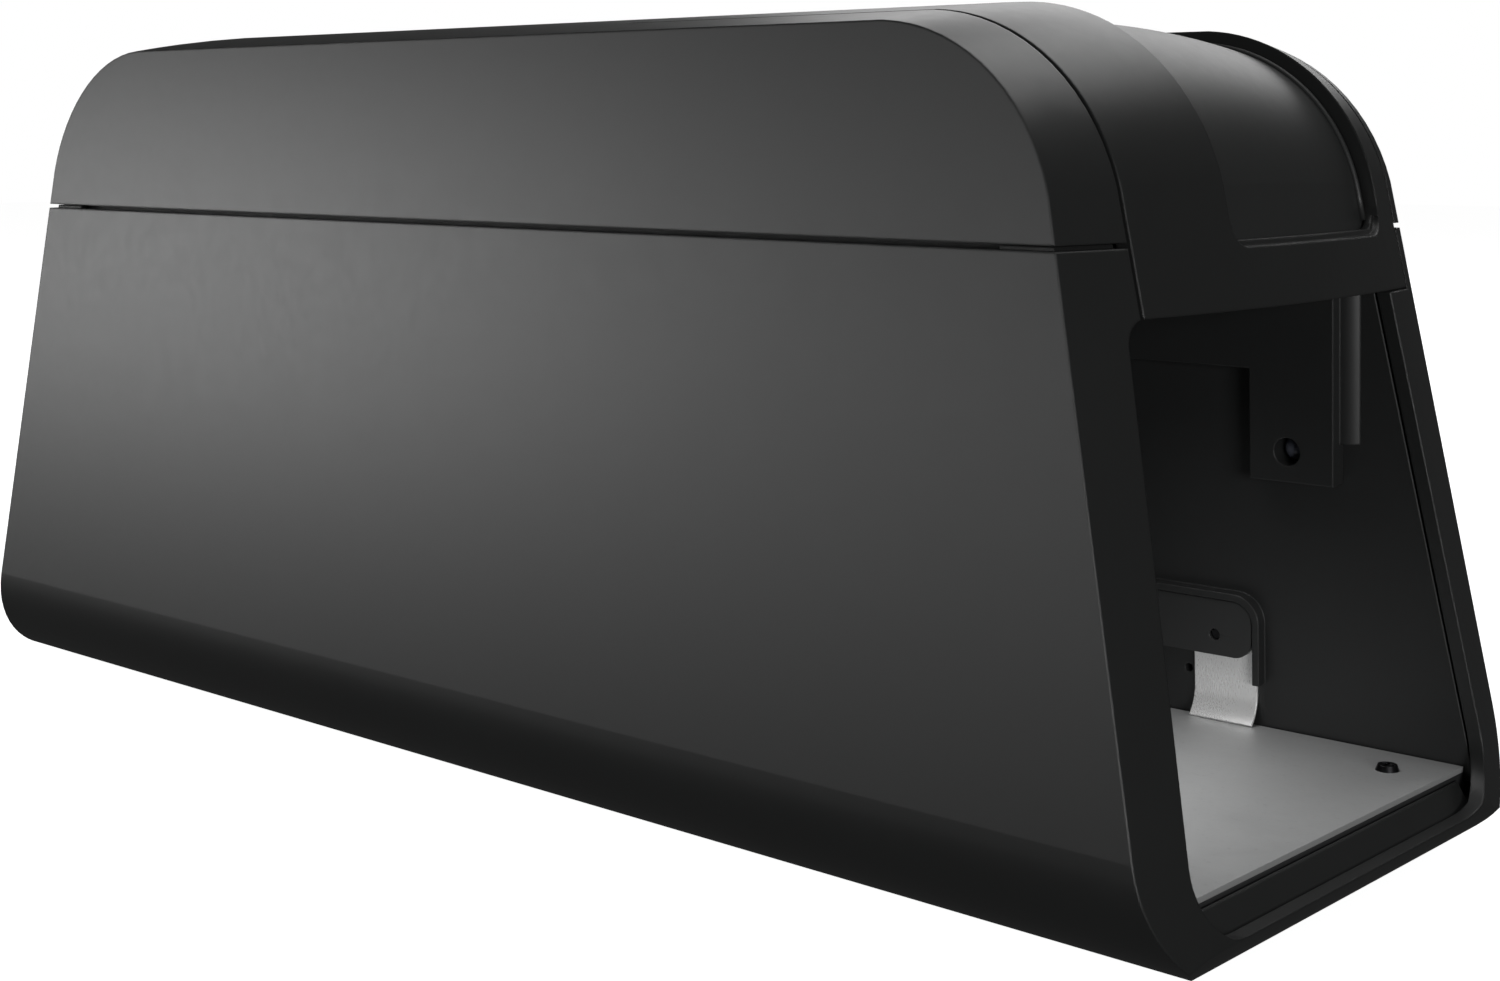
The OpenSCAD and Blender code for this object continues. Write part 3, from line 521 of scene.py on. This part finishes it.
def ridge(sx, sy, last_y):
    """Rings of points round one corner. Each stop is a point and the way in from it."""
    turned = (-1, -1) if last_y else (0, -1)
    stops = [((RIDGE_FROM_X, RIDGE_HALF), (0, -1)), ((ridge_x(RIDGE_HALF), RIDGE_HALF), turned)]
    if last_y:
        stops += [((ridge_x(y), y), (-1, 0)) for y in (RIDGE_TURN_Y, last_y)]
    rings = []
    for (x, y), inward in stops:
        ring = []
        for dz, step in ((RIDGE_FOOT, 0), (RIDGE_TOP, 0), (RIDGE_TOP, RIDGE_W), (RIDGE_FOOT, RIDGE_W)):
            px = x + step * inward[0] - dz * math.tan(END_SLOPE)
            py = y + step * inward[1] - dz * math.tan(SIDE_LEAN)
            ring.append(Vector((sx * px, sy * py, SEAM_Z + dz)) * MM)
        rings.append(ring)
    return rings


def seam_ridges(finish):
    """Low ridges on the base's rim that close the seam to light round its corners."""
    tubes = [ridge(*corner) for corner in RIDGE_CORNERS]
    piece = loft("seam_ridges", tubes, finish, smooth=False)
    rounding = piece.modifiers.new("rounding", "BEVEL")
    rounding.width = RIDGE_ROUND * MM
    rounding.segments = 2
    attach(piece, "case")


# ---- studio ----

# Soft lights: name, place, the point it faces, width and height, watts, and spread in degrees.
# left and side light the long side, back, high and top the crown, front the entrance end, far the
# side away from the camera, and tunnel the chamber.
LIGHTS = (
    ("left_box", (-0.62, -0.46, 0.11), (-0.1, -0.05, 0.085), (0.3, 0.14), 0.98, 180),
    ("side_box", (-0.65, -1.4, 0.1), (0, 0, 0.08), (1.2, 0.25), 3.5, 180),
    ("back_box", (-0.45, 1.15, 0.72), (0.1, 0, 0.12), (0.9, 0.5), 3.6, 180),
    ("high_box", (0.1, 0.75, 1.1), (0.1, 0, 0.12), (0.7, 0.6), 3, 180),
    ("front_box", (1.2, -0.75, 0.12), (0.1, 0, 0.05), (0.5, 0.4), 11, 180),
    ("far_box", (-0.95, 1.35, 0.12), (0, 0, 0.07), (0.7, 0.25), 3, 180),
    ("top_box", (0.4, 0.0, 1.6), (0.1, 0, 0.06), (0.8, 1.0), 5, 180),
    ("tunnel_box", (0.090, 0.0, 0.0885), (0.105, 0.0, 0.01), (0.05, 0.03), 0.0165, 85),
)
FLOOR_HALF = 3.0
FLOOR_GREY = (0.6, 0.6, 0.6)
FLOOR_GLOW = 0.95
ROOM_STRENGTH = 0.05
BACKDROP_STRENGTH = 1.0
WHITE = (1, 1, 1, 1)


def softbox(name, at, toward, size, watts, spread):
    data = bpy.data.lights.new(name, "AREA")
    data.shape = "RECTANGLE"
    data.size, data.size_y = size
    data.energy = watts
    data.spread = math.radians(spread)
    light = add_object(name, data)
    light.location = at
    light.rotation_euler = (Vector(toward) - Vector(at)).to_track_quat("-Z", "Y").to_euler()
    light.visible_camera = False


def make_floor():
    """A pale floor with a glow of its own, which neither lights the trap nor shows in its gloss."""
    mesh = bpy.data.meshes.new("floor")
    corners = [(sx * FLOOR_HALF, sy * FLOOR_HALF, 0) for sx, sy in ((-1, -1), (1, -1), (1, 1), (-1, 1))]
    mesh.from_pydata(corners, [], [(0, 1, 2, 3)])
    floor = add_object("floor", mesh)
    f = Finish("floor", FLOOR_GREY, 0.9)
    f.vary_rough(f.noise(40), 0.04)
    f.shader.inputs["Emission Color"].default_value = WHITE
    f.shader.inputs["Emission Strength"].default_value = FLOOR_GLOW
    mesh.materials.append(f.done())
    floor.visible_glossy = False
    floor.visible_diffuse = False


def make_world():
    """A white backdrop for the camera, and a dim grey room for everything else."""
    world = bpy.data.worlds.new("studio")
    bpy.context.scene.world = world
    world.use_nodes = True
    tree = world.node_tree
    room = tree.nodes["Background"]
    backdrop = tree.nodes.new("ShaderNodeBackground")
    for node, strength in ((room, ROOM_STRENGTH), (backdrop, BACKDROP_STRENGTH)):
        node.inputs["Color"].default_value = WHITE
        node.inputs["Strength"].default_value = strength
    path = tree.nodes.new("ShaderNodeLightPath")
    mix = tree.nodes.new("ShaderNodeMixShader")
    tree.links.new(path.outputs["Is Camera Ray"], mix.inputs[0])
    tree.links.new(room.outputs[0], mix.inputs[1])
    tree.links.new(backdrop.outputs[0], mix.inputs[2])
    tree.links.new(mix.outputs[0], tree.nodes["World Output"].inputs["Surface"])


def make_studio():
    make_floor()
    make_world()
    for row in LIGHTS:
        softbox(*row)
    bpy.context.scene.view_settings.view_transform = "Standard"


aim_camera()
finishes = make_finishes()
dress_nodes(finishes)
for node_name in FILLETED:
    round_edges(NODES[node_name])
for node_name in WIRES:
    smooth_tube(NODES[node_name])
panel_bead(finishes["panel_plastic"])
seam_ridges(finishes["case_plastic"])
make_studio()
